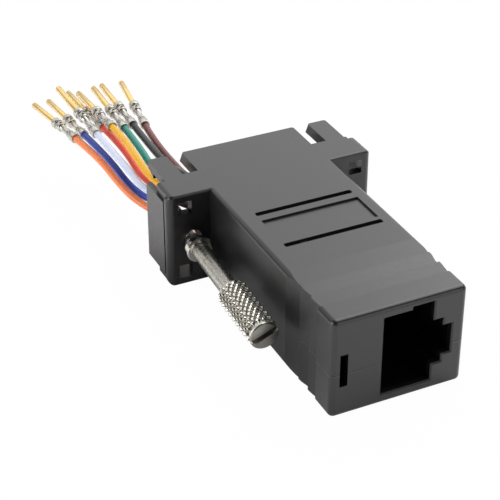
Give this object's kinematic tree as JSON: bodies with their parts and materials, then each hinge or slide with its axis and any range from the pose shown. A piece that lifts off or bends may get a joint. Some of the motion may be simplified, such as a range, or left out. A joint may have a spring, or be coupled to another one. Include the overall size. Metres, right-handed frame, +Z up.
{
  "type": "serial adapter",
  "caption": "Black moulded adapter with a modular jack at one end, loose coloured wires with crimp pins at the open serial end, and captive knurled thumbscrews.",
  "frame": {"origin": "centre of the hood's underside, loose wires not counted", "axes": "+X across the adapter, away from the side the wires lean to; +Y from the jack opening to the open serial end; +Z up through the grooved top face"},
  "size_m": [0.0369, 0.0869, 0.015],
  "materials": {
    "hood_plastic": "black ABS, fine moulded texture",
    "jack_plastic": "black moulded plastic, smooth",
    "contact_gold": "gold plated, smooth",
    "nickel": "nickel plated, knurled knob",
    "insulation_orange": "smooth PVC insulation, slight sheen",
    "insulation_blue": "smooth PVC insulation, slight sheen",
    "insulation_white": "smooth PVC insulation, slight sheen",
    "insulation_red": "smooth PVC insulation, slight sheen",
    "insulation_yellow": "smooth PVC insulation, slight sheen",
    "insulation_green": "smooth PVC insulation, slight sheen",
    "insulation_black": "smooth PVC insulation, slight sheen",
    "insulation_brown": "smooth PVC insulation, slight sheen"
  },
  "bodies": {
    "adapter": {"hood": "hood_plastic", "jack_housing": "jack_plastic", "jack_contact_carrier": "jack_plastic", "jack_contact_1": "contact_gold", "jack_contact_2": "contact_gold", "jack_contact_3": "contact_gold", "jack_contact_4": "contact_gold", "jack_contact_5": "contact_gold", "jack_contact_6": "contact_gold", "jack_contact_7": "contact_gold", "jack_contact_8": "contact_gold", "wire_orange": "insulation_orange", "pin_orange": "contact_gold", "wire_blue": "insulation_blue", "pin_blue": "contact_gold", "wire_white": "insulation_white", "pin_white": "contact_gold", "wire_red": "insulation_red", "pin_red": "contact_gold", "wire_yellow": "insulation_yellow", "pin_yellow": "contact_gold", "wire_green": "insulation_green", "pin_green": "contact_gold", "wire_black": "insulation_black", "pin_black": "contact_gold", "wire_brown": "insulation_brown", "pin_brown": "contact_gold"},
    "left_collar": {"left_collar_ring": "nickel"},
    "left_screw": {"left_thumbscrew": "nickel"},
    "right_collar": {"right_collar_ring": "nickel"},
    "right_screw": {"right_thumbscrew": "nickel"}
  },
  "joints": [
    {"name": "left_screw_slide", "type": "slide", "parent": "adapter", "child": "left_collar", "axis": [0.0323, 0.9993, 0.0194], "range_m": [-0.0042, 0]},
    {"name": "left_screw_turn", "type": "hinge", "parent": "left_collar", "child": "left_screw", "pos_m": [-0.01268, 0.01342, 0.00732], "axis": [0.0323, 0.9993, 0.0194], "continuous": true},
    {"name": "right_screw_slide", "type": "slide", "parent": "adapter", "child": "right_collar", "axis": [-0.0323, 0.9993, 0.0194], "range_m": [-0.0042, 0]},
    {"name": "right_screw_turn", "type": "hinge", "parent": "right_collar", "child": "right_screw", "pos_m": [0.01268, 0.01342, 0.00732], "axis": [-0.0323, 0.9993, 0.0194], "continuous": true}
  ]
}
